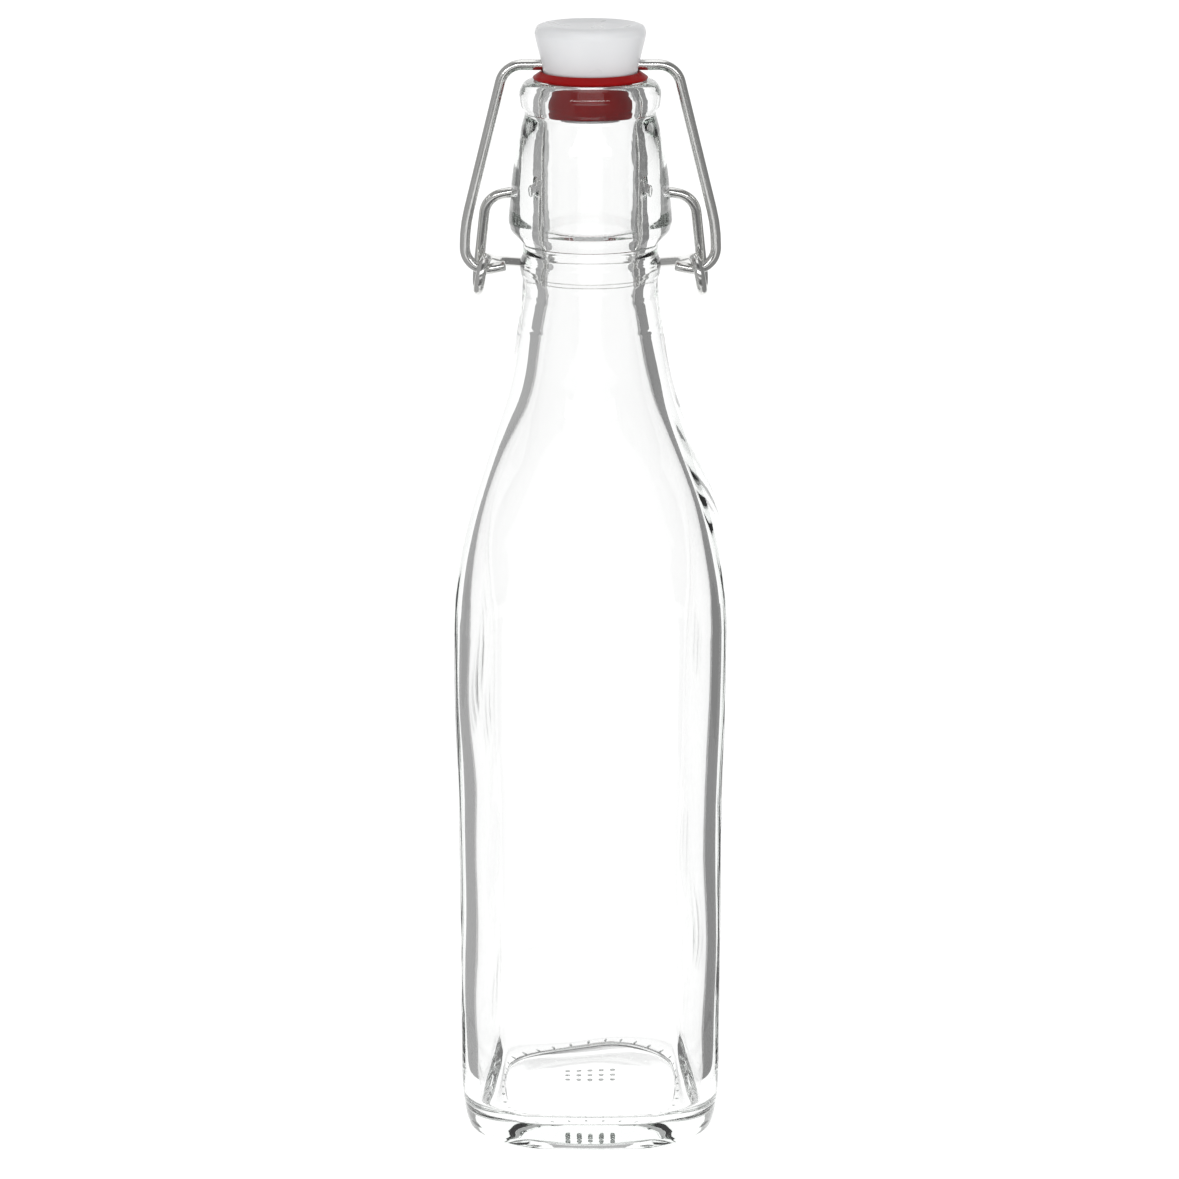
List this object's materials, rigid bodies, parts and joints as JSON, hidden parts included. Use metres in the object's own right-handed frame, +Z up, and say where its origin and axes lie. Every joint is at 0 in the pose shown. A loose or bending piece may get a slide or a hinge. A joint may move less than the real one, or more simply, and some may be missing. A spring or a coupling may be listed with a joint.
{
  "type": "swing-top bottle",
  "caption": "Clear square glass bottle with a wire swing-top closure: white stopper, red rubber gasket, bail and lever.",
  "frame": {"origin": "centre of the base, on the surface the bottle stands on", "axes": "+Z up through the mouth, -Y the front, with the thumb loop of the lever at the back on +Y, X along the closure's hinge axes"},
  "size_m": [0.0642, 0.0642, 0.2634],
  "materials": {
    "clear_glass": "clear moulded soda-lime glass",
    "steel_wire": "bright drawn stainless wire",
    "white_plastic": "moulded white plastic, soft gloss",
    "red_rubber": "moulded red rubber"
  },
  "bodies": {
    "bottle": {"glass_bottle": "clear_glass"},
    "lever": {"lever_wire": "steel_wire"},
    "bail": {"bail_wire": "steel_wire"},
    "stopper": {"stopper": "white_plastic", "gasket": "red_rubber"}
  },
  "joints": [
    {"name": "lever_swing", "type": "hinge", "parent": "bottle", "child": "lever", "pos_m": [0, 0, 0.2257], "axis": [1, 0, 0], "range_deg": [0, 190]},
    {"name": "bail_swing", "type": "hinge", "parent": "lever", "child": "bail", "pos_m": [0, -0.001, 0.2081], "axis": [1, 0, 0], "range_deg": [-124, 0]},
    {"name": "stopper_tilt", "type": "hinge", "parent": "bail", "child": "stopper", "pos_m": [0, 0, 0.2543], "axis": [1, 0, 0], "range_deg": [-67, 0]}
  ],
  "couplings": [
    {"joint": "bail_swing", "follows": "lever_swing", "ratio": -0.652},
    {"joint": "stopper_tilt", "follows": "lever_swing", "ratio": -0.348}
  ]
}
